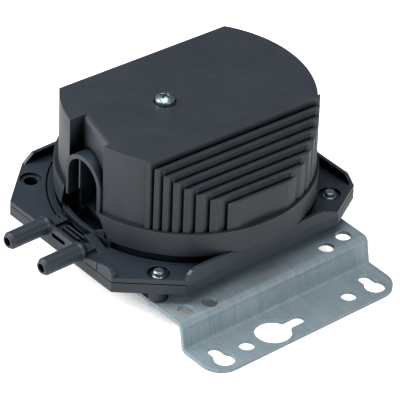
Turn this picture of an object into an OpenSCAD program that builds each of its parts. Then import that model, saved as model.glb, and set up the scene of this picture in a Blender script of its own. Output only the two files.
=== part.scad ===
/* [Mounting bracket] */
// Sheet thickness of the plated bracket
sheet = 1.5; // [1.2:0.1:2]
// Width of the bracket along X
bracket_w = 86.6; // [84:0.2:92]
// Height of the step from the foot to the shelf under the housing
step_h = 10.2; // [9.5:0.1:12]
// Distance from the foot holes to the front edge of the foot
foot_front = 7.3; // [7.2:0.1:9]
// Spacing of the two round holes in the foot
foot_pitch = 47.7; // [46:0.1:49]
// Diameter of the round holes in foot and shelf
round_hole = 5.9; // [5.2:0.1:6.4]

/* [Housing] */
// Total thickness of the octagonal flange, both shells together
flange_t = 6; // [5.4:0.1:7]
// Height of the raised edge strips on the flange
lip_h = 3.3; // [1:0.1:3.6]
// Width of the flange along X
flange_w = 105.6; // [105:0.2:108]
// Depth of the flange along Y
flange_d = 92.5; // [92:0.1:95]
// Diameter of the corner holes through the flange
corner_hole = 5.2; // [5:0.1:5.6]

/* [Hose nozzles] */
// Outside diameter of the two nozzles
nozzle_d = 6.5; // [5.8:0.1:7]
// Bore of the two nozzles
nozzle_bore = 3.4; // [2.6:0.1:3.8]
// Spacing of the two nozzles
nozzle_pitch = 19.5; // [18.5:0.1:20.5]
// Free length of a nozzle in front of the flange
nozzle_l = 16.6; // [12:0.2:22]

/* [Cover] */
// Radius of the round cover wall
cover_r = 46; // [45.6:0.1:46.4]
// Height of the cover top above the flange
cover_top = 40.8; // [40:0.2:44]
// Turn of the cover on the housing, seen in the photograph
cover_turn = -3; // [-3:0.5:0]
// Number of cooling-fin style ribs on the stepped front
rib_n = 8; // [6:1:8]
// Thickness of each rib
rib_t = 1.3; // [1.1:0.1:1.5]

/* [Switch mechanism] */
// Wire thickness of the range spring
wire = 0.8; // [0.6:0.1:1]
// Diameter of the set-point dial
dial_d = 12.4; // [11:0.2:12.6]

/* [Hidden] */
$fn = 96;
e = 0.01;
// foot holes are the origin: their centre lies here below the flange top
fy = -63.8;
fz = -10.5 - step_h - sheet;
shelf_z = -10.5;
zf = shelf_z - step_h;
// axis of the round housing and cover, measured from the bracket centre line
hx = 1.2;
hy = 1.5;
// flange outline
fx1 = 50.6 - flange_w;
fx2 = 50.6;
fy1 = -44;
fy2 = fy1 + flange_d;
part_z = -2;
fl_z = -flange_t;
holes = [[-39.8, -33.7], [39.8, -33.7], [-40.6, 38.6], [40.6, 38.6]];
screwed = [[-39.8, -33.7], [39.8, -33.7]];
collar_r = 47.1;
ring_r = 47.8;
ring_z1 = 3.4;
// deck of the upper shell, set back under the ring, and its rim at the recess
deck_r = 45.9;
rim_z = 2.8;
// arch of the cable tunnel, from the housing axis
tun_y = 1.8;
tun_z = 21;
tun_r = 9.8;
ring_z2 = 12.7;
chamber_r = 38;
nz_z = 0.9;
ny = [2.1 + nozzle_pitch / 2, 2.1 - nozzle_pitch / 2];
post = [-10.5, 0.5];
shell_a = [0, 60, 110, 160, 220, 300];

module place() translate([0, -fy, -fz]) children();
module house() place() translate([hx, hy, 0]) children();
module capped() house() rotate([0, 0, cover_turn]) children();
module box(a, b) translate(a) cube(b - a);
module rod(p, d, h) translate(p) cylinder(d = d, h = h);

function cf(i, dx, dy) = 1 + i * (sqrt(1 / (dx * dx) + 1 / (dy * dy)) - 1 / dx - 1 / dy);
// octagonal outline, inset by i: corner cuts front-left, front-right, back-right, back-left
module outline(i = 0) {
    a = cf(i, 20.4, 17.8); b = cf(i, 16, 9.2); c = cf(i, 18, 16.4);
    polygon([[fx1 + i, fy1 + i + 17.8 * a], [fx1 + i + 20.4 * a, fy1 + i],
        [fx2 - i - 16 * b, fy1 + i], [fx2 - i, fy1 + i + 9.2 * b],
        [fx2 - i, fy2 - i - 9.2 * b], [fx2 - i - 16 * b, fy2 - i],
        [fx1 + i + 18 * c, fy2 - i], [fx1 + i, fy2 - i - 16.4 * c]]);
}
// raised strips seen from the side, along X and along Y
module strip_x(y1, y2, pts) translate([0, y2, 0]) rotate([90, 0, 0])
    linear_extrude(y2 - y1) polygon([for (p = pts) [p[0], p[1] * lip_h / 3.3]]);
module strip_y(x1, x2, pts) translate([x1, 0, 0]) rotate([90, 0, 90])
    linear_extrude(x2 - x1) polygon([for (p = pts) [p[0], p[1] * lip_h / 3.3]]);

// ---------------------------------------------------------------- bracket
module sector(ri, ro, a1, a2) intersection() {
    difference() { circle(ro); circle(ri); }
    polygon([[0, 0], [4 * ro * cos(a1), 4 * ro * sin(a1)],
        [4 * ro * cos((a1 + a2) / 2), 4 * ro * sin((a1 + a2) / 2)],
        [4 * ro * cos(a2), 4 * ro * sin(a2)]]);
}
module bracket_profile() {
    // y to the right, z up; the wall leans out by 9 degrees towards the foot
    ri = 1; ro = ri + sheet; a = 9;
    yu = -49.2; zu = shelf_z - ro;
    zl = zf + ri;
    run = (zu + ri * sin(a) - zl - 0) ;
    yl = yu - ro * cos(a) - ri * cos(a) - (zu - zl - (ro + ri) * sin(a) * -1) * tan(a);
    translate([yu, zu]) sector(ri, ro, 90, 180 + a);
    translate([yl, zl]) sector(ri, ro, -90, a);
    polygon([[yu, shelf_z], [yu, shelf_z - sheet], [-24, shelf_z - sheet], [-24, shelf_z]]);
    polygon([[yl, zf], [yl, zf - sheet], [fy - foot_front, zf - sheet], [fy - foot_front, zf]]);
    polygon([[yu - ro * cos(a), zu - ro * sin(a)], [yu - ri * cos(a), zu - ri * sin(a)],
        [yl + ro * cos(a), zl + ro * sin(a)], [yl + ri * cos(a), zl + ri * sin(a)]]);
}
module foot_corner(s) {
    r = 8.5;
    translate([s * bracket_w / 2, fy - foot_front, zf - sheet - 1]) difference() {
        translate([s > 0 ? -r : -1, -1, 0]) cube([r + 1, r + 1, sheet + 2]);
        translate([-s * r, r, -1]) cylinder(r = r, h = sheet + 4);
    }
}
module keyhole(p, q, d, w) {
    // round entry at p, slot of width w to the end centre q
    rod([p[0], p[1], zf - sheet - 1], d, sheet + 2);
    rod([q[0], q[1], zf - sheet - 1], w, sheet + 2);
    v = q - p; l = sqrt(v[0] * v[0] + v[1] * v[1]);
    translate([p[0], p[1], zf - sheet - 1]) rotate([0, 0, atan2(v[1], v[0])])
        translate([0, -w / 2, 0]) cube([l, w, sheet + 2]);
}
module mounting_bracket() color([0.62, 0.66, 0.68]) place() difference() {
    translate([-bracket_w / 2, 0, 0]) rotate([90, 0, 90]) linear_extrude(bracket_w) bracket_profile();
    foot_corner(1);
    foot_corner(-1);
    for (s = [-1, 1]) {
        rod([s * foot_pitch / 2, fy, zf - sheet - 1], round_hole, sheet + 2);
        rod([s * 36.7, -45.4, shelf_z - sheet - 1], round_hole, sheet + 2);
        rod([s * 27.15, -47, shelf_z - sheet - 1], round_hole, sheet + 2);
        keyhole([s * 35.15, -65.2], [s * 35.15, -59.7], 7.7, 5);
    }
    keyhole([-11.3, fy + 0.4], [0.2, fy + 0.4], 13.6, 4.8);
    for (h = screwed) rod([h[0], h[1], shelf_z - sheet - 1], 5.3, sheet + 2);
}
module bracket_screws() color([0.78, 0.8, 0.82]) place() for (h = screwed) translate([h[0], h[1], 0]) difference() {
    union() {
        rod([0, 0, shelf_z - sheet - e], 4.9, sheet + e - shelf_z - 0.7);
        rod([0, 0, -1], 3.9, 1.8);
        translate([0, 0, 0.8]) cylinder(d1 = 3.9, d2 = 3.1, h = 0.4);
        rod([0, 0, shelf_z - sheet - 1.2], 6.8, 1.2);
    }
    for (a = [45, -45]) rotate([0, 0, a]) translate([-2, -0.45, shelf_z - sheet - 1.5]) cube([4, 0.9, 1.1]);
}

// ---------------------------------------------------------------- shells
module lower_shell() color([0.2, 0.22, 0.24]) difference() {
    union() {
        place() translate([0, 0, fl_z]) linear_extrude(part_z - fl_z) outline();
        house() rod([0, 0, shelf_z], 80, fl_z - shelf_z + 1);
        place() for (h = holes) rod([h[0], h[1], shelf_z], 7.2, fl_z - shelf_z + 1);
    }
    house() difference() {
        rod([0, 0, shelf_z + 1.5], 2 * chamber_r, 20);
        rod([0, 0, shelf_z], 8, -5.02 - shelf_z);
        for (a = [0:45:315]) rotate([0, 0, a]) box([3, -0.6, shelf_z], [36, 0.6, shelf_z + 3]);
    }
    house() rod([0, 0, part_z - 0.8], 81.2, 5);
    place() for (h = holes) rod([h[0], h[1], shelf_z - 1], corner_hole, 20);
    house() for (a = shell_a) rotate([0, 0, a]) rod([43.4, 0, fl_z - 1], 3.3, 20);
    // the front side stands back below the upper shell
    place() box([-36, fy1 - 1, fl_z - 1], [36, fy1 + 0.7, 3]);
    // passage of the second nozzle down into the lower chamber
    place() rod([-41.5, ny[1], part_z - 3.1], 2, 5);
    place() translate([-41.5, ny[1], part_z - 2]) rotate([0, 90, 0]) cylinder(d = 1.6, h = 8);
}
module shell_screws() color([0.72, 0.74, 0.76]) house() for (a = shell_a) rotate([0, 0, a]) translate([43.4, 0, 0]) difference() {
    union() {
        rod([0, 0, fl_z - e], 3, 1.8 - fl_z);
        rod([0, 0, fl_z - 2], 5.4, 2);
    }
    for (b = [0, 90]) rotate([0, 0, b]) translate([-1.5, -0.35, fl_z - 2.2]) cube([3, 0.7, 1.3]);
}
module tunnel(r, x1, x2, z1) {
    // arch opening towards the hose side, standing on z1
    translate([x1, tun_y, tun_z]) rotate([0, 90, 0]) cylinder(r = r, h = x2 - x1);
    box([x1, tun_y - r, z1], [x2, tun_y + r, tun_z]);
}
// gap of the cover ring at the cable recess, its ends slope outwards towards the foot
module ring_gap(g, x2) translate([-60, 0, 0]) rotate([90, 0, 90]) linear_extrude(60 + x2)
    polygon([[slot_y2 + 1 - g, 14.8], [slot_y2 - 2.5 - g, 7.5], [slot_y2 - 5 - g, 2.6], [slot_y2 - 5 - g, -6],
        [slot_y1 + 3.5 + g, -6], [slot_y1 + 3.5 + g, 2.6], [slot_y1 + 1.8 + g, 8.3], [slot_y1 - 1 + g, 16.9]]);
// room taken by the ring of the cover, open at the cable recess
module ring_zone() house() difference() {
    rod([0, 0, ring_z1 - 0.3], 2 * ring_r + 0.5, ring_z2 - ring_z1 + 0.6);
    rotate([0, 0, cover_turn]) ring_gap(-0.3, -36);
}
module recess_zone() box([-60, -13.5, -5], [-38, 14.5, 10]);
module nozzle(y) place() translate([fx1 + 0.4, y, nz_z]) rotate([0, -90, 0]) {
    cylinder(d = nozzle_d, h = nozzle_l - 0.8);
    cylinder(d1 = nozzle_d + 0.6, d2 = nozzle_d, h = 1.2);
    translate([0, 0, nozzle_l - 0.8]) cylinder(d1 = nozzle_d, d2 = nozzle_d - 1.7, h = 1.2);
    translate([0, 0, -2.6]) cylinder(d1 = 2.6, d2 = nozzle_d, h = 2.6);
}
module upper_shell() color([0.22, 0.24, 0.26]) difference() {
    union() {
        place() translate([0, 0, part_z]) linear_extrude(-part_z) outline();
        // raised edge strips on the long sides
        difference() {
            place() intersection() {
                translate([0, 0, -0.5]) linear_extrude(lip_h + 2) difference() { outline(); outline(1.4); }
                union() {
                    strip_x(fy1 - 1, fy1 + 6, [[-34.9, -0.4], [-34.9, 0], [-34.4, 2.6], [-33, 3.8], [-30, 4.3],
                        [0, 3.8], [27.5, 3.2], [31.5, 1.6], [34.4, 0], [34.4, -0.4]]);
                    strip_x(fy2 - 6, fy2 + 1, [[-37, -0.4], [-36.8, 0.1], [-32.8, 3.3], [30, 3.3], [34.4, 0], [34.4, -0.4]]);
                    strip_y(fx2 - 5, fx2 + 1, [[-34.6, -0.4], [-34.6, 0], [-31.2, 3.3], [36, 3.3], [39.1, 0], [39.1, -0.4]]);
                    strip_y(fx1 - 1, fx1 + 4, [[-10.5, -0.4], [-10.5, 0], [-18, 2], [-22.5, 3.2], [-25.2, 3],
                        [-26.4, 1.2], [-26.6, -0.4]]);
                }
            }
            ring_zone();
                    }
        // face wall, passage bosses and small stiffeners at the nozzles
        place() box([fx1, -9.6, -0.5], [fx1 + 1.5, 14, 2.3]);
        place() for (y = ny) box([fx1 + 1, y - 2.4, -0.5], [y > 0 ? -46.2 : -48.5, y + 2.1, 1.2]);
        place() box([fx1 + 4.2, -2.2, -0.5], [fx1 + 5, 7, 1]);
        place() box([fx1 + 6.2, -3.4, -0.5], [fx1 + 7, 7, 1]);
        for (y = ny) nozzle(y);
        // wedge against the collar beside the cable opening
        difference() {
            place() translate([-49.4, 0, 0]) rotate([90, 0, 90]) linear_extrude(3.8)
                polygon([[-3.6, -0.5], [-3.6, 3.2], [-4.6, 3.2], [-12.2, -0.1], [-12.2, -0.5]]);
            ring_zone();
        }
        // collar, deck, spigot inside the cover ring
        intersection() {
            house() union() {
                rod([0, 0, part_z], 2 * deck_r, rim_z - part_z);
                intersection() {
                    rod([0, 0, part_z], 2 * collar_r, rim_z - part_z);
                    recess_zone();
                }
            }
            place() translate([0, 0, -4]) linear_extrude(12) outline(0.3);
        }
        // low bead around the deck, and a ramp at the right end of the recess
        intersection() {
            house() difference() {
                rod([0, 0, -0.5], 95.6, 0.8);
                rod([0, 0, -1], 94.6, 3);
                recess_zone();
            }
            place() translate([0, 0, -4]) linear_extrude(12) outline(2);
        }
        intersection() {
            house() difference() {
                rod([0, 0, 2], 94, 6);
                rod([0, 0, 1], 91, 8);
            }
            place() translate([-60, 0, 0]) rotate([90, 0, 90]) linear_extrude(20)
                polygon([[-3, 2.3], [-3, 2.8], [-9, 6.5], [-9, 2.3]]);
        }
        house() difference() {
            rod([0, 0, 2], 88.4, 7);
            rod([0, 0, 0], 84.8, 20);
            box([-50, -12, rim_z], [-38, 14, 20]);
        }
        house() difference() {
            tunnel(tun_r, -46.2, -35.4, 2);
            box([-50, -20, 1], [-40.1, 20, 10.5]);
            box([-50, 11.1, 1], [-30, 20, 40]);
        }
        // guide boss, cover post and switch wall on the deck
        house() rod([0, 0, 1.5], 8.4, 2.1);
        house() rod([post[0], post[1], 1.5], 7.2, cover_top - 2 - 1.5 - 0.1);
        house() for (a = [35, 125, 215, 305]) translate([post[0], post[1], 0]) rotate([0, 0, a])
            translate([0, -0.6, 1.5]) cube([5.6, 1.2, 8]);
        house() box([7.8, 4.05, 1.5], [34.4, 6.6, 17]);
        house() for (x = [9, 32]) box([x, 6, 1.5], [x + 1.2, 12, 9]);
        house() for (s = [-1, 1]) rod([0, s * 13.6, 1.5], 6.4, 2.1);
        house() for (a = shell_a) rotate([0, 0, a]) rod([43.4, 0, part_z], 5, 4);
    }
    // narrow groove beside the collar at the back left, pocket behind the nozzles
    house() translate([0, 0, -0.8]) linear_extrude(3) sector(49.8, 50.5, 125, 168);
    house() difference() {
        box([-49.1, -4.9, -1.4], [-40, 7.5, 0.4]);
        rod([0, 0, -3], 2 * collar_r + 0.4, 6);
    }
    // line where the two shells meet
    place() difference() {
        translate([0, 0, part_z - 0.5]) linear_extrude(0.9) outline(-0.2);
        translate([0, 0, part_z - 1]) linear_extrude(2) outline(0.8);
        box([fx1 - 1, -12, -5], [fx1 + 2, 16, 2]);
    }
    // keep the nozzle roots clear of the lower shell
    place() box([fx1, -14, -8], [fx1 + 1, 18, part_z]);
    house() rod([0, 0, part_z - 1], 2 * chamber_r, 4);
    house() rod([0, 0, -1], 5.12, 10);
    house() rod([post[0], post[1], cover_top - 19], 3.55, 20);
    house() for (x = [9.7, 32.5]) translate([x, 0, 14.6]) rotate([-90, 0, 0]) cylinder(d = 2.35, h = 20);
    house() for (s = [-1, 1]) rod([0, s * 13.6, 1.2], 2.25, 10);
    house() for (a = shell_a) rotate([0, 0, a]) rod([43.4, 0, part_z - 1], 3.05, 4.9);
    // cable tunnel bore with the deep pit in front, a thin rib hangs from the arch
    house() difference() {
        tunnel(tun_r - 1.7, -50, -30, rim_z + e);
        box([-45.6, 3.9, 16], [-36.5, 4.6, 31]);
    }
    house() intersection() {
        difference() { rod([0, 0, -1.2], 91, 4.2); rod([0, 0, -3], 77.6, 10); }
        box([-60, tun_y - 8.1, -4], [-30, 8.7, 12]);
    }
    house() intersection() {
        rod([0, 0, 0.4], 91, 2.6);
        box([-60, -9.5, -4], [-40.1, 12.8, 12]);
    }
    // corner holes with round recesses
    place() for (h = holes) {
        rod([h[0], h[1], -10], corner_hole, 20);
        rod([h[0], h[1], -1], 8.2, 1.2);
    }
    // nozzle bores and passages
    place() for (y = ny) {
        translate([fx1 - nozzle_l - 2, y, nz_z]) rotate([0, 90, 0]) cylinder(d = nozzle_bore, h = nozzle_l + 2);
        translate([fx1 - 2, y, -0.9]) rotate([0, 90, 0]) cylinder(d = 1.2, h = y > 0 ? 24 : 15.5);
    }
    place() rod([-41.5, ny[1], part_z - 1], 2, 1 + nz_z - part_z);
    // thin slit in the side, moulding slot in the face between the nozzles
    place() box([fx1 - 1, -18.35, -1.3], [fx1 + 0.7, -17.85, 6]);
    place() for (y = [1, 7]) translate([fx1 - 1, y, -0.6]) rotate([0, 90, 0]) cylinder(d = 1.8, h = 2.2);
    place() box([fx1 - 1, 1, -1.5], [fx1 + 1.2, 7, 0.3]);
    // orientation notches of the spigot at the back
    house() for (a = [55, 90, 125]) rotate([0, 0, a]) box([41, -3, 5.6], [46, 3, 10]);
}

// ---------------------------------------------------------------- diaphragm
module diaphragm() color([0.75, 0.35, 0.25]) house() rotate_extrude() {
    translate([35.6, part_z - 0.8]) square([4.9, 0.8]);
    translate([3.05, part_z - 0.8]) square([27.95, 0.8]);
    translate([33.3, part_z - 0.4]) difference() {
        circle(2.7);
        circle(2);
        translate([-4, 0]) square([8, 4]);
    }
    translate([30.6, part_z - 0.8]) square([0.7, 0.8]);
    translate([35.3, part_z - 0.8]) square([0.7, 0.8]);
}
module backing_plate() color([0.7, 0.72, 0.74]) house() difference() {
    union() {
        rod([0, 0, part_z - 1.8], 56, 1);
        rod([0, 0, part_z - 3], 11, 1.5);
    }
    rod([0, 0, part_z - 5], 6, 10);
    for (a = [0:60:300]) rotate([0, 0, a]) rod([19, 0, part_z - 5], 6, 10);
}
module pressure_plate() color([0.85, 0.83, 0.78]) house() {
    rod([0, 0, part_z], 56, 0.8);
    rod([0, 0, part_z - 2.6], 5.98, 3);
    rod([0, 0, part_z], 5, 8);
    rod([0, 0, 5], 12.6, 1);
    rod([0, 0, 5], 4.4, 3.4);
    rod([0, 0, part_z + 0.5], 12, 1.1);
    for (a = [0:60:300]) rotate([0, 0, a]) box([5, -0.6, part_z + 0.5], [24, 0.6, part_z + 1.4]);
}
module range_spring() color([0.8, 0.81, 0.82]) house() {
    ro = 3.6 + wire / 2; ri = 3.6 - wire / 2; turns = 5; z1 = 6.02; z2 = 17.98;
    h = z2 - z1; ang = 360 * wire / (h / turns);
    // flat wire: a ring sector that climbs while it turns
    translate([0, 0, z1]) linear_extrude(h, twist = -360 * turns, slices = 80, $fn = 8)
        polygon(concat([for (i = [0:8]) [ro * cos(ang * i / 8), ro * sin(ang * i / 8)]],
            [for (i = [8:-1:0]) [ri * cos(ang * i / 8), ri * sin(ang * i / 8)]]));
}

// ---------------------------------------------------------------- adjuster
module spring_seat() color([0.78, 0.68, 0.4]) house() difference() {
    union() {
        rod([0, 0, 18], 10.4, 2);
        box([-2, -9.8, 18], [2, 9.8, 20]);
    }
    rod([0, 0, 17], 4.1, 5);
}
module dial_bridge() color([0.74, 0.76, 0.78]) house() difference() {
    union() {
        box([-5, -10.2, 22.6], [5, 10.2, 24]);
        for (s = [-1, 1]) {
            box([-5, s > 0 ? 8.8 : -10.2, 3.6], [5, s > 0 ? 10.2 : -8.8, 24]);
            box([-5, s > 0 ? 8.8 : -17.2, 3.6], [5, s > 0 ? 17.2 : -8.8, 5]);
        }
    }
    rod([0, 0, 20], 4.12, 8);
    // guide slots for the ears of the spring seat
    box([-2.1, -12, 12.5], [2.1, 12, 20.6]);
    for (s = [-1, 1]) rod([0, s * 13.6, 0], 2.6, 10);
}
module bridge_screws() color([0.72, 0.74, 0.76]) house() for (s = [-1, 1]) translate([0, s * 13.6, 0]) difference() {
    union() {
        rod([0, 0, 1.4], 2.2, 3.7);
        rod([0, 0, 5], 4.4, 1.7);
    }
    for (b = [0, 90]) rotate([0, 0, b]) translate([-1.2, -0.3, 5.8]) cube([2.4, 0.6, 2]);
}
module setpoint_dial() color([0.85, 0.85, 0.82]) house() difference() {
    union() {
        rod([0, 0, 24.02], dial_d, 4);
        rod([0, 0, 28], dial_d - 1.6, 0.8);
        rod([0, 0, 13.2], 4, 12);
    }
    translate([-4.2, -0.6, 27.6]) cube([8.4, 1.2, 3]);
    for (a = [0:30:330]) rotate([0, 0, a]) rod([dial_d / 2 + 0.2, 0, 23], 1.4, 10);
    rod([0, 0, 8], 4.6, 5.3);
    difference() { rod([0, 0, 21.4], 8, 0.8); rod([0, 0, 21], 3.2, 3); }
}
module dial_clip() color([0.6, 0.62, 0.64]) house() difference() {
    rod([0, 0, 21.5], 7.4, 0.6);
    rod([0, 0, 20], 3.22, 4);
    box([-5, -1.3, 20], [0, 1.3, 24]);
}

// ---------------------------------------------------------------- switch
module switch_body() color([0.14, 0.14, 0.15]) house() difference() {
    union() {
        box([7.8, -3.2, 8.5], [34.4, 4, 18.5]);
        box([28, -3.2, 6], [31, -2.2, 8.6]);
        box([28, 2.4, 6], [31, 4, 8.6]);
    }
    box([12, -4, 9.7], [30, 3, 17.3]);
    rod([20, 0, 8], 2.12, 3);
    translate([29.5, -6, 7.2]) rotate([-90, 0, 0]) cylinder(d = 1.24, h = 12);
    for (x = [9.7, 32.5]) translate([x, -6, 14.6]) rotate([-90, 0, 0]) cylinder(d = 2.35, h = 20);
    for (x = [13.2, 20.7, 25.2]) box([x - 0.02, -2.42, 17], [x + 0.82, 2.42, 19]);
}
module switch_lid() color([0.16, 0.16, 0.17]) house() difference() {
    box([7.8, -4, 8.5], [34.4, -3.2, 18.5]);
    for (x = [9.7, 32.5]) translate([x, -6, 14.6]) rotate([-90, 0, 0]) cylinder(d = 2.35, h = 20);
}
module switch_screws() color([0.72, 0.74, 0.76]) house() for (x = [9.7, 32.5]) translate([x, 0, 14.6]) difference() {
    union() {
        translate([0, -4.01, 0]) rotate([-90, 0, 0]) cylinder(d = 2.3, h = 10.2);
        translate([0, -5.6, 0]) rotate([-90, 0, 0]) cylinder(d = 4.2, h = 1.6);
    }
    translate([-1.3, -6, -0.3]) cube([2.6, 1.2, 0.6]);
    translate([-0.3, -6, -1.3]) cube([0.6, 1.2, 2.6]);
}
module switch_lever() color([0.76, 0.78, 0.8]) house() difference() {
    union() {
        box([5.3, -1.9, 6.12], [29.5, 1.9, 6.6]);
        translate([29.5, -1.9, 7.2]) rotate([-90, 0, 0]) cylinder(d = 2.16, h = 3.8);
    }
    translate([29.5, -6, 7.2]) rotate([-90, 0, 0]) cylinder(d = 1.28, h = 12);
}
module lever_pin() color([0.7, 0.72, 0.74]) house()
    translate([29.5, -3.2, 7.2]) rotate([-90, 0, 0]) cylinder(d = 1.2, h = 7.2);
module switch_plunger() color([0.7, 0.15, 0.12]) house() {
    rod([20, 0, 6.62], 2, 4);
    rod([20, 0, 9.76], 3, 1.54);
    rod([20, 0, 11], 1.2, 0.62);
}
module contact_blade() color([0.8, 0.6, 0.35]) house() {
    box([14.02, -1.6, 11.7], [26.6, 1.6, 12]);
    rod([25.6, 0, 11.2], 2, 1.3);
    translate([14.6, -1.6, 11.85]) rotate([-90, 0, 0]) cylinder(d = 0.9, h = 3.2);
}
module terminal_common() color([0.82, 0.7, 0.4]) house() difference() {
    union() {
        box([13.2, -2.4, 12.6], [14, 2.4, 26]);
        box([12.3, -2.4, 12.6], [13.4, 2.4, 13.2]);
        box([13.2, -2.4, 11.4], [13.8, 2.4, 12.8]);
    }
    translate([12, 0, 23]) rotate([0, 90, 0]) cylinder(d = 1.6, h = 4);
}
module terminal_closed() color([0.82, 0.7, 0.4]) house() difference() {
    union() {
        box([20.7, -2.4, 15.2], [21.5, 2.4, 26]);
        box([20.7, -2.4, 15.2], [28.6, -1.9, 15.8]);
        box([28, -2.4, 10.3], [28.6, 1.4, 15.8]);
        box([24.4, -1.4, 10.3], [28.6, 1.4, 10.7]);
        rod([25.6, 0, 10.6], 2, 0.5);
    }
    translate([20, 0, 23]) rotate([0, 90, 0]) cylinder(d = 1.6, h = 4);
}
module terminal_open() color([0.82, 0.7, 0.4]) house() difference() {
    union() {
        box([25.2, -1.6, 13.6], [26, 2.4, 18.4]);
        box([25.2, -2.4, 16.6], [26, 2.4, 26]);
        rod([25.6, 0, 13.3], 2, 0.5);
    }
    translate([24, 0, 23]) rotate([0, 90, 0]) cylinder(d = 1.6, h = 4);
}

// ---------------------------------------------------------------- cover
back_y = 27.7;
rib_y = -28.3;
rib_p = 2.47;
rib_dz = 2.37;
slot_y1 = 9.1;
slot_y2 = -10.8;
// inner wall of the recess runs slightly askew
slot_x1 = -39.5;
slot_x2 = -43.5;
module strip2d(r, y1, y2) intersection() {
    circle(r);
    translate([-60, y1]) square([120, y2 - y1]);
}
module slot2d(g) polygon([[-60, slot_y1 + g], [slot_x1 + g, slot_y1 + g],
    [slot_x2 + g, slot_y2 - g], [-60, slot_y2 - g]]);
// rounded top edge of the inner wall
module slot_edge(r) intersection() {
    box([-60, slot_y2, 0], [0, slot_y1, 60]);
    translate([slot_x2, slot_y2, cover_top - r])
        rotate([0, 0, -atan((slot_x1 - slot_x2) / (slot_y1 - slot_y2))]) difference() {
            translate([-6, -6, 0]) cube([6 + r, 32, r + 1]);
            translate([r, -8, 0]) rotate([-90, 0, 0]) cylinder(r = r, h = 36);
        }
}
module cover() color([0.26, 0.28, 0.31]) capped() difference() {
    union() {
        difference() {
            union() {
                // round body up to the flat top
                translate([0, 0, ring_z2 - 0.5]) linear_extrude(cover_top - ring_z2 + 0.5) strip2d(cover_r, rib_y, back_y);
                // stepped core and ribs at the front
                for (k = [0:rib_n - 1]) {
                    y = rib_y - k * rib_p;
                    t = cover_top - k * rib_dz;
                    translate([0, 0, ring_z2 - 0.5]) linear_extrude(t - ring_z2 + 0.5) strip2d(cover_r + 0.8, y, y + rib_t);
                    if (k > 0) {
                        translate([0, 0, ring_z2 - 0.5]) linear_extrude(t - 1.2 - ring_z2 + 0.5) strip2d(cover_r - 0.5, y - 0.4, y + rib_t);
                        translate([0, 0, ring_z2 - 0.5]) linear_extrude(t - 2.6 - ring_z2 + 0.5) strip2d(cover_r - 1.8, y, y + rib_p + 0.3);
                    }
                }
                // ring around the foot of the cover
                difference() {
                    rod([0, 0, ring_z1], 2 * ring_r, ring_z2 - ring_z1);
                    rod([0, 0, ring_z1 - 1], 89.2, 7.6);
                }
            }
            // hollow inside: full height part, then steps under the ribs
            translate([0, 0, ring_z2 - 4]) linear_extrude(cover_top - 2 - ring_z2 + 4) strip2d(cover_r - 2, rib_y + 2.6, back_y - 2);
            for (k = [1:rib_n - 1]) {
                y = rib_y - k * rib_p;
                t = cover_top - k * rib_dz - 2.6 - 1.8;
                translate([0, 0, ring_z2 - 4]) linear_extrude(t - ring_z2 + 4) strip2d(cover_r - 3.8, y + 1.9, y + rib_p + 2.8);
            }
            rod([0, 0, ring_z1 - 1], 89.2, 7.6);
        }
        // wall around the cable recess
        intersection() {
            translate([0, 0, ring_z1 + 7]) linear_extrude(cover_top - ring_z1 - 7) slot2d(1.8);
            rod([0, 0, 0], 2 * cover_r - 0.2, cover_top);
        }
    }
    // cable recess through the wall and down to the collar
    translate([0, 0, -5]) linear_extrude(60) slot2d(0);
    ring_gap(0, -42.5);
    slot_edge(2.4);
    // way through for the tunnel of the housing
    rotate([0, 0, -cover_turn]) tunnel(tun_r + 0.4, -60, -33, -5);
    // screw seat
    rotate([0, 0, -cover_turn]) {
        rod([post[0], post[1], cover_top - 4], 3.9, 10);
        rod([post[0], post[1], cover_top - 0.4], 8.2, 2);
    }
}
module cover_screw() color([0.82, 0.84, 0.86]) house() translate([post[0], post[1], cover_top - 0.4]) difference() {
    union() {
        rod([0, 0, -15], 3.5, 15.2);
        rod([0, 0, 0], 7, 1.7);
        translate([0, 0, 1.7]) intersection() {
            translate([0, 0, -3.5]) sphere(r = 5);
            cylinder(d = 7, h = 3);
        }
    }
    for (b = [20, 110]) rotate([0, 0, b]) translate([-1.9, -0.45, 1.7]) cube([3.8, 0.9, 4]);
}

mounting_bracket();
bracket_screws();
lower_shell();
shell_screws();
upper_shell();
diaphragm();
backing_plate();
pressure_plate();
range_spring();
spring_seat();
dial_bridge();
bridge_screws();
setpoint_dial();
dial_clip();
switch_body();
switch_lid();
switch_screws();
switch_lever();
lever_pin();
switch_plunger();
contact_blade();
terminal_common();
terminal_closed();
terminal_open();
cover();
cover_screw();
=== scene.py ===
# Differential pressure switch on its plated bracket: looks, light and camera.
import math

import bpy
from mathutils import Matrix, Vector

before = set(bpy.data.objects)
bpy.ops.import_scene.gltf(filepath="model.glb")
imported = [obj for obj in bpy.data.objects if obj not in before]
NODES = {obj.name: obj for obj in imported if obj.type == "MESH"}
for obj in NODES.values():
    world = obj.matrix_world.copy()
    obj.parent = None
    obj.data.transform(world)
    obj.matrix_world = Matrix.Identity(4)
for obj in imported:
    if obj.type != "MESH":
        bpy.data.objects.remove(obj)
bpy.context.view_layer.update()
scene = bpy.context.scene


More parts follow.
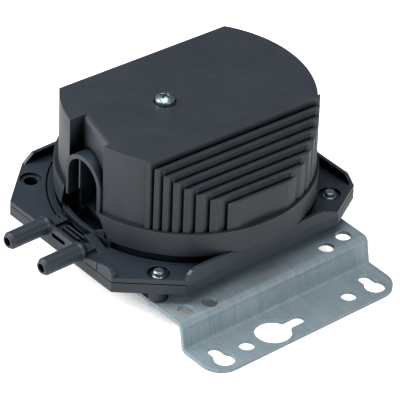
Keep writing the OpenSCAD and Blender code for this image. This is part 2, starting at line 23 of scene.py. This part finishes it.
# ---------------------------------------------------------------- node helpers
class Look:
    """One procedural material. Coordinates are the object's own, in metres."""

    def __init__(self, name):
        self.mat = bpy.data.materials.new(name)
        self.mat.use_nodes = True
        self.tree = self.mat.node_tree
        self.tree.nodes.clear()
        out = self.tree.nodes.new("ShaderNodeOutputMaterial")
        self.bsdf = self.tree.nodes.new("ShaderNodeBsdfPrincipled")
        self.tree.links.new(self.bsdf.outputs["BSDF"], out.inputs["Surface"])
        self.place = self.tree.nodes.new("ShaderNodeTexCoord").outputs["Object"]

    def put(self, value, socket):
        if isinstance(value, bpy.types.NodeSocket):
            self.tree.links.new(value, socket)
        elif value is not None:
            if socket.type == "RGBA" and len(value) == 3:
                value = (*value, 1.0)
            socket.default_value = value

    def math(self, op, a, b=None, c=None, clamp=False):
        n = self.tree.nodes.new("ShaderNodeMath")
        n.operation, n.use_clamp = op, clamp
        for i, v in enumerate((a, b, c)):
            self.put(v, n.inputs[i])
        return n.outputs[0]

    def stretch(self, scale, turn=(0, 0, 0), shift=(0, 0, 0)):
        n = self.tree.nodes.new("ShaderNodeMapping")
        self.put(self.place, n.inputs["Vector"])
        n.inputs["Scale"].default_value = scale
        n.inputs["Rotation"].default_value = turn
        n.inputs["Location"].default_value = shift
        return n.outputs[0]

    def noise(self, scale, detail=2.0, rough=0.5, where=None, warp=0.0):
        n = self.tree.nodes.new("ShaderNodeTexNoise")
        self.put(self.place if where is None else where, n.inputs["Vector"])
        n.inputs["Scale"].default_value = scale
        n.inputs["Detail"].default_value = detail
        n.inputs["Roughness"].default_value = rough
        n.inputs["Distortion"].default_value = warp
        return n.outputs["Fac"]

    def cells(self, scale, feature="F1", where=None, out="Distance"):
        n = self.tree.nodes.new("ShaderNodeTexVoronoi")
        n.feature = feature
        self.put(self.place if where is None else where, n.inputs["Vector"])
        n.inputs["Scale"].default_value = scale
        return n.outputs[out]

    def span(self, value, a, b, lo=0.0, hi=1.0, smooth=False):
        n = self.tree.nodes.new("ShaderNodeMapRange")
        n.interpolation_type = "SMOOTHSTEP" if smooth else "LINEAR"
        n.clamp = True
        self.put(value, n.inputs["Value"])
        for k, v in (("From Min", a), ("From Max", b), ("To Min", lo), ("To Max", hi)):
            n.inputs[k].default_value = v
        return n.outputs["Result"]

    def mix(self, fac, a, b, blend="MIX"):
        n = self.tree.nodes.new("ShaderNodeMix")
        n.data_type, n.blend_type = "RGBA", blend
        self.put(fac, n.inputs[0])
        self.put(a, n.inputs[6])
        self.put(b, n.inputs[7])
        return n.outputs[2]

    def soft_edge(self, radius, samples=6):
        n = self.tree.nodes.new("ShaderNodeBevel")
        n.samples = samples
        n.inputs["Radius"].default_value = radius
        return n.outputs["Normal"]

    def edge_mask(self, normal, a=0.995, b=0.9):
        """1 where the softened normal leaves the face's own."""
        geo = self.tree.nodes.new("ShaderNodeNewGeometry")
        dot = self.tree.nodes.new("ShaderNodeVectorMath")
        dot.operation = "DOT_PRODUCT"
        self.put(normal, dot.inputs[0])
        self.put(geo.outputs["Normal"], dot.inputs[1])
        return self.span(dot.outputs["Value"], b, a, 1.0, 0.0)

    def painted_occlusion(self, distance, samples=6, inside=False):
        """Ambient occlusion, used as painted shade: dark in corners and grooves (or near outward edges, with inside).
        """
        n = self.tree.nodes.new("ShaderNodeAmbientOcclusion")
        n.samples, n.inside, n.only_local = samples, inside, False
        n.inputs["Distance"].default_value = distance
        return n.outputs["AO"]

    def bump(self, height, distance, strength=1.0, normal=None):
        n = self.tree.nodes.new("ShaderNodeBump")
        n.inputs["Distance"].default_value = distance
        n.inputs["Strength"].default_value = strength
        self.put(height, n.inputs["Height"])
        if normal is not None:
            self.put(normal, n.inputs["Normal"])
        return n.outputs["Normal"]

    def finish(self, colour, rough, normal=None, metal=None, **fixed):
        b = self.bsdf.inputs
        self.put(colour, b["Base Color"])
        self.put(rough, b["Roughness"])
        if metal is not None:
            self.put(metal, b["Metallic"])
        if normal is not None:
            self.put(normal, b["Normal"])
        for key, value in fixed.items():
            b[key.replace("_", " ")].default_value = value
        return self.mat


def moulded(name, base, tint, rough=(0.40, 0.52), edge=0.0003, grain=0.35, rub=0.6,
            dust=0.5, groove=0.002, spec=0.5, edge_tone=(0.095, 0.106, 0.120)):
    """Dark moulded plastic: spark-eroded grain, flow marks, edges lighter from wear and a painted highlight, painted
    shade in corners and grooves, dust.
    """
    k = Look(name)
    cloud = k.noise(38.0, 3.0, 0.55, warp=0.4)
    flow = k.noise(22.0, 4.0, 0.6, where=k.stretch((1.0, 2.6, 7.0), turn=(0.2, 0.1, 0.5)), warp=0.8)
    colour = k.mix(k.span(cloud, 0.35, 0.68), base, tint)
    colour = k.mix(k.span(flow, 0.48, 0.75, 0.0, 0.35), colour, tuple(c * 1.22 for c in tint))
    fine = k.noise(5200.0, 2.0, 0.6)
    colour = k.mix(k.span(fine, 0.3, 0.7, 0.0, 0.16), colour, tuple(c * 1.5 for c in tint))
    soft = k.soft_edge(edge)
    # edges lighter towards edge_tone: partly wear, partly a painted highlight; rub sets how strong
    worn_and_lit_edge = k.math("MULTIPLY", k.edge_mask(soft), k.span(k.noise(420.0, 4.0, 0.7), 0.36, 0.62, 0.25, 1.0))
    colour = k.mix(k.math("MULTIPLY", worn_and_lit_edge, rub), colour, edge_tone)
    # painted shade: grooves, corners and recesses are darkened by ambient occlusion, and their specular is lowered
    # too
    near = k.span(k.painted_occlusion(groove * 2.0, 6), 0.15, 0.75, 0.30, 1.0)
    far = k.span(k.painted_occlusion(groove * 13.0, 10), 0.24, 0.60, 0.01, 1.0)
    painted_shade = k.math("MULTIPLY", near, far)
    colour = k.mix(1.0, colour, painted_shade, "MULTIPLY")
    k.put(k.math("MULTIPLY", painted_shade, spec), k.bsdf.inputs["Specular IOR Level"])
    # dust: a faint film in patches and a few loose specks
    film = k.math("MULTIPLY", k.span(k.noise(90.0, 5.0, 0.7), 0.52, 0.8), k.span(k.noise(900.0, 3.0, 0.6), 0.4, 0.7))
    colour = k.mix(k.math("MULTIPLY", film, 0.10 * dust), colour, (0.30, 0.31, 0.32))
    seeds = k.cells(210.0)
    pick = k.cells(210.0, out="Color")
    split = k.tree.nodes.new("ShaderNodeSeparateColor")
    k.put(pick, split.inputs[0])
    rare = k.math("GREATER_THAN", split.outputs[0], 0.965)
    speck = k.math("MULTIPLY", k.span(seeds, 0.035, 0.055, 1.0, 0.0), rare)
    colour = k.mix(k.math("MULTIPLY", speck, 0.75 * dust), colour, (0.55, 0.56, 0.56))
    # hair scratches, hardly seen but in the gloss
    s1 = k.noise(900.0, 2.0, 0.5, where=k.stretch((1.0, 0.02, 0.02), turn=(0.1, 0.3, 0.9)))
    scratch = k.span(s1, 0.70, 0.735)
    colour = k.mix(k.math("MULTIPLY", scratch, 0.10), colour, edge_tone)
    roughness = k.span(k.noise(65.0, 4.0, 0.65), 0.3, 0.7, rough[0], rough[1])
    roughness = k.math("ADD", roughness, k.math("MULTIPLY", film, 0.18 * dust))
    roughness = k.math("ADD", roughness, k.math("MULTIPLY", scratch, -0.05), clamp=True)
    height = k.math("ADD", k.math("MULTIPLY", k.noise(3600.0, 2.0, 0.55), grain), k.math("MULTIPLY", k.noise(260.0, 2.0, 0.5), 0.5))
    normal = k.bump(height, 0.00005, 0.35, soft)
    return k.finish(colour, roughness, normal)


def plated(name, low, high, stain, rough=(0.30, 0.46), along=1, streak=0.5, edge=0.0002,
           dull=0.25, bright=(0.70, 0.76, 0.79), grit=0.10, full=1.0):
    """Zinc plated steel: rolling streaks, chromate tints, dull blotches, edges brighter, partly sheared metal and
    partly a painted highlight.
    """
    k = Look(name)
    s = [1.0, 1.0, 1.0]
    if along is not None:
        s[along] = 0.02
        if along == 1:
            s[2] = 0.03
    lines = k.noise(1500.0, 3.0, 0.6, where=k.stretch(tuple(s)))
    wide = k.noise(210.0, 3.0, 0.6, where=k.stretch(tuple(v if v == 1.0 else v * 2.0 for v in s)))
    blotch = k.noise(75.0, 5.0, 0.65, warp=0.6)
    colour = k.mix(k.span(wide, 0.3, 0.72), low, high)
    colour = k.mix(k.span(lines, 0.35, 0.7, 0.0, streak), colour, tuple(min(1.0, c * 1.28) for c in high))
    colour = k.mix(k.span(lines, 0.30, 0.46, 0.3 * streak, 0.0), colour, tuple(c * 0.6 for c in low))
    colour = k.mix(k.span(blotch, 0.52, 0.78, 0.0, 0.55), colour, stain)
    grainy = k.cells(900.0, out="Color")
    split = k.tree.nodes.new("ShaderNodeSeparateColor")
    k.put(grainy, split.inputs[0])
    colour = k.mix(k.span(split.outputs[1], 0.0, 1.0, 0.0, grit), colour, bright)
    soft = k.soft_edge(edge)
    worn_and_lit_edge = k.edge_mask(soft, 0.995, 0.85)
    # edges lighter towards bright: partly sheared metal, partly a painted highlight
    colour = k.mix(k.math("MULTIPLY", worn_and_lit_edge, 0.55), colour, bright)
    scuff = k.span(k.noise(1300.0, 2.0, 0.5, where=k.stretch((1.0, 0.03, 0.03), turn=(0.0, 0.0, 1.1))), 0.68, 0.72)
    colour = k.mix(k.math("MULTIPLY", scuff, 0.25), colour, bright)
    roughness = k.span(blotch, 0.35, 0.75, rough[0], rough[1])
    roughness = k.math("ADD", roughness, k.span(lines, 0.35, 0.7, 0.06, -0.05), clamp=True)
    metal = k.span(k.noise(140.0, 4.0, 0.6), 0.45, 0.8, full, full - dull)
    height = k.math("ADD", k.math("MULTIPLY", lines, 0.6), k.math("MULTIPLY", k.noise(2400.0, 2.0, 0.5), 0.35))
    normal = k.bump(height, 0.00003, 0.4, soft)
    return k.finish(colour, roughness, normal, metal)


def cast_metal(name, low, high, rough, scale=1800.0, edge=0.00015, turn=(0, 0, 0), squeeze=(1, 1, 1), depth=0.00002):
    """Small turned, drawn or pressed metal parts: tool marks, tarnish and bright edges."""
    k = Look(name)
    marks = k.noise(scale, 3.0, 0.6, where=k.stretch(squeeze, turn=turn))
    cloud = k.noise(260.0, 4.0, 0.6)
    colour = k.mix(k.span(cloud, 0.35, 0.7), low, high)
    colour = k.mix(k.span(marks, 0.4, 0.65, 0.0, 0.35), colour, tuple(min(1.0, c * 1.25) for c in high))
    soft = k.soft_edge(edge)
    colour = k.mix(k.math("MULTIPLY", k.edge_mask(soft), 0.4), colour, tuple(min(1.0, c * 1.35) for c in high))
    roughness = k.span(cloud, 0.3, 0.7, rough[0], rough[1])
    height = k.math("ADD", k.math("MULTIPLY", marks, 0.7), k.math("MULTIPLY", k.noise(3000.0, 2.0, 0.5), 0.3))
    return k.finish(colour, roughness, k.bump(height, depth, 0.4, soft), k.span(cloud, 0.5, 0.8, 1.0, 0.85))


def pale_plastic(name, low, high, rough, edge=0.0002, grain=0.3, sub=0.0):
    """Light technical plastic: slight clouding, mould grain and handling marks."""
    k = Look(name)
    cloud = k.noise(120.0, 4.0, 0.6, warp=0.5)
    colour = k.mix(k.span(cloud, 0.3, 0.7), low, high)
    grime = k.math("MULTIPLY", k.span(k.noise(500.0, 5.0, 0.7), 0.5, 0.75), 0.18)
    colour = k.mix(grime, colour, tuple(c * 0.6 for c in low))
    soft = k.soft_edge(edge)
    colour = k.mix(k.math("MULTIPLY", k.edge_mask(soft), 0.25), colour, tuple(min(1.0, c * 1.2) for c in high))
    roughness = k.span(k.noise(200.0, 3.0, 0.6), 0.3, 0.7, rough[0], rough[1])
    height = k.math("MULTIPLY", k.noise(3400.0, 2.0, 0.55), grain)
    return k.finish(colour, roughness, k.bump(height, 0.00005, 0.3, soft), Subsurface_Weight=sub, Subsurface_Scale=0.0006)


def rubber(name):
    k = Look(name)
    cloud = k.noise(90.0, 4.0, 0.6)
    colour = k.mix(k.span(cloud, 0.3, 0.7), (0.16, 0.15, 0.14), (0.23, 0.22, 0.21))
    bloom = k.math("MULTIPLY", k.span(k.noise(700.0, 5.0, 0.7), 0.5, 0.8), 0.35)
    colour = k.mix(bloom, colour, (0.42, 0.41, 0.39))
    weave = k.math("MULTIPLY", k.cells(1500.0), 0.6)
    roughness = k.span(k.noise(300.0, 4.0, 0.6), 0.3, 0.7, 0.62, 0.8)
    return k.finish(colour, roughness, k.bump(weave, 0.00006, 0.4), Specular_IOR_Level=0.35)


DARK = (0.0195, 0.0240, 0.0300)
LOOKS = {
    "dark_plastic_cover": moulded("cover_plastic_look", (0.0190, 0.0252, 0.0330), (0.0245, 0.0315, 0.0405)),
    "dark_plastic_upper": moulded("upper_plastic_look", (0.0170, 0.0262, 0.0375), (0.0220, 0.0325, 0.0450), rough=(0.36, 0.48), dust=0.35),
    "dark_plastic_lower": moulded("lower_plastic_look", (0.0170, 0.0245, 0.0335), (0.0215, 0.0295, 0.0395), rough=(0.42, 0.55), dust=0.4),
    "plated_sheet": plated("plated_sheet_look", (0.215, 0.285, 0.325), (0.285, 0.365, 0.405), (0.270, 0.295, 0.300), rough=(0.46, 0.60), streak=0.30, edge=0.0002, full=0.45, dull=0.2, bright=(0.52, 0.58, 0.60)),
    "plated_screw": plated("plated_screw_look", (0.27, 0.37, 0.41), (0.36, 0.47, 0.51), (0.46, 0.52, 0.53), rough=(0.30, 0.42), along=None, streak=0.15, dull=0.25, bright=(0.80, 0.86, 0.88), grit=0.03),
    "aluminium_plate": cast_metal("aluminium_plate_look", (0.62, 0.63, 0.64), (0.76, 0.77, 0.78), (0.32, 0.45), squeeze=(1, 0.03, 1)),
    "spring_steel": cast_metal("spring_steel_look", (0.38, 0.38, 0.39), (0.52, 0.52, 0.53), (0.25, 0.38), squeeze=(1, 1, 0.2)),
    "brass_seat": cast_metal("brass_seat_look", (0.62, 0.44, 0.19), (0.76, 0.57, 0.28), (0.26, 0.40), squeeze=(1, 1, 6)),
    "steel_bridge": cast_metal("steel_bridge_look", (0.50, 0.53, 0.55), (0.64, 0.68, 0.70), (0.30, 0.44), squeeze=(1, 0.03, 1)),
    "contact_metal": cast_metal("contact_metal_look", (0.60, 0.42, 0.30), (0.74, 0.55, 0.42), (0.24, 0.36), squeeze=(0.03, 1, 1)),
    "terminal_brass": cast_metal("terminal_brass_look", (0.60, 0.50, 0.28), (0.74, 0.63, 0.38), (0.24, 0.38), squeeze=(1, 1, 0.04)),
    "natural_plastic": pale_plastic("natural_plastic_look", (0.62, 0.60, 0.54), (0.72, 0.70, 0.64), (0.38, 0.5), sub=0.08),
    "dial_plastic": pale_plastic("dial_plastic_look", (0.60, 0.60, 0.58), (0.70, 0.70, 0.68), (0.34, 0.46), sub=0.05),
    "switch_plastic": moulded("switch_plastic_look", (0.014, 0.014, 0.015), (0.020, 0.020, 0.021), rough=(0.4, 0.55), edge=0.0002, dust=0.3),
    "plunger_plastic": pale_plastic("plunger_plastic_look", (0.42, 0.06, 0.04), (0.52, 0.09, 0.06), (0.34, 0.46)),
    "diaphragm_rubber": rubber("diaphragm_rubber_look"),
}

for name, obj in NODES.items():
    for i, mat in enumerate(obj.data.materials):
        key = mat.name.split(".")[0] if mat else ""
        if key not in LOOKS:
            raise RuntimeError("no look for slot " + key + " on " + name)
        obj.data.materials[i] = LOOKS[key]


# ---------------------------------------------------------------- floor
def floor_look():
    k = Look("floor_look")
    cloud = k.noise(3.0, 3.0, 0.5)
    colour = k.mix(k.span(cloud, 0.3, 0.7), (0.62, 0.62, 0.62), (0.66, 0.66, 0.66))
    # the paper is over-exposed in the picture, yet throws little light back up
    ray = k.tree.nodes.new("ShaderNodeLightPath")
    seen = k.math("MULTIPLY", ray.outputs["Is Camera Ray"], 1.06)
    shine = k.math("MULTIPLY", ray.outputs["Is Glossy Ray"], 0.45)
    # painted shadow: where the part roofs the floor, ambient occlusion darkens the floor's colour and glow
    painted_shadow_mask = k.span(k.painted_occlusion(0.05, 16), 0.06, 0.28, 0.03, 1.0, smooth=True)
    k.put(k.math("MULTIPLY", k.math("ADD", seen, shine), painted_shadow_mask), k.bsdf.inputs["Emission Strength"])
    colour = k.mix(1.0, colour, painted_shadow_mask, "MULTIPLY")
    return k.finish(colour, 0.9, Specular_IOR_Level=0.1, Emission_Color=(1, 1, 1, 1))


me = bpy.data.meshes.new("floor")
me.from_pydata([(-3, -3, 0), (3, -3, 0), (3, 3, 0), (-3, 3, 0)], [], [(0, 1, 2, 3)])
floor = bpy.data.objects.new("floor", me)
floor.location = (0, 0, -0.00015)
me.materials.append(floor_look())
scene.collection.objects.link(floor)


# ---------------------------------------------------------------- light
def softbox(name, place, aim, size, power, colour=(1, 1, 1), spread=180):
    light = bpy.data.lights.new(name, "AREA")
    light.shape, light.size, light.size_y = "RECTANGLE", size[0], size[1]
    light.energy, light.color = power, colour
    light.spread = math.radians(spread)
    o = bpy.data.objects.new(name, light)
    o.location = place
    o.rotation_mode = "QUATERNION"
    o.rotation_quaternion = (Vector(aim) - Vector(place)).to_track_quat("-Z", "Y")
    scene.collection.objects.link(o)
    return o


AIM = (0.0, 0.05, 0.03)
softbox("key_left", (-0.85, 0.78, 0.62), AIM, (0.7, 0.8), 15.0)
softbox("left_fill", (-1.10, -0.45, 0.80), AIM, (0.45, 0.45), 3.0)
softbox("top", (-0.10, 0.10, 1.30), AIM, (0.9, 0.9), 11.5)
softbox("front", (0.10, -1.20, 0.55), AIM, (0.9, 0.6), 6.0)

world = bpy.data.worlds.new("studio")
scene.world = world
world.use_nodes = True
bg = world.node_tree.nodes["Background"]
bg.inputs["Color"].default_value = (0.97, 0.985, 1.0, 1)
bg.inputs["Strength"].default_value = 0.13

scene.view_settings.view_transform = "Standard"

# ---------------------------------------------------------------- camera
az, el, roll = (math.radians(a) for a in (-40.94, 35.35, 2.28))
back = Vector((math.sin(az) * math.cos(el), -math.cos(az) * math.cos(el), math.sin(el)))
right0 = Vector((math.cos(az), math.sin(az), 0.0))
up0 = back.cross(right0)
right = right0 * math.cos(roll) + up0 * math.sin(roll)
up = -right0 * math.sin(roll) + up0 * math.cos(roll)
eye = back * 1341.67 + right * 5.280 - up * 3.9675
eye = (eye + Vector((0.0, 63.8, 22.2))) / 1000.0
cam_data = bpy.data.cameras.new("camera")
cam_data.lens = 334.46
cam_data.sensor_width = 36.0
cam_data.clip_start, cam_data.clip_end = 0.05, 50.0
cam = bpy.data.objects.new("camera", cam_data)
turn = Matrix((right, up, back)).transposed().to_4x4()
cam.matrix_world = Matrix.Translation(eye) @ turn
scene.collection.objects.link(cam)
scene.camera = cam

bpy.context.view_layer.update()
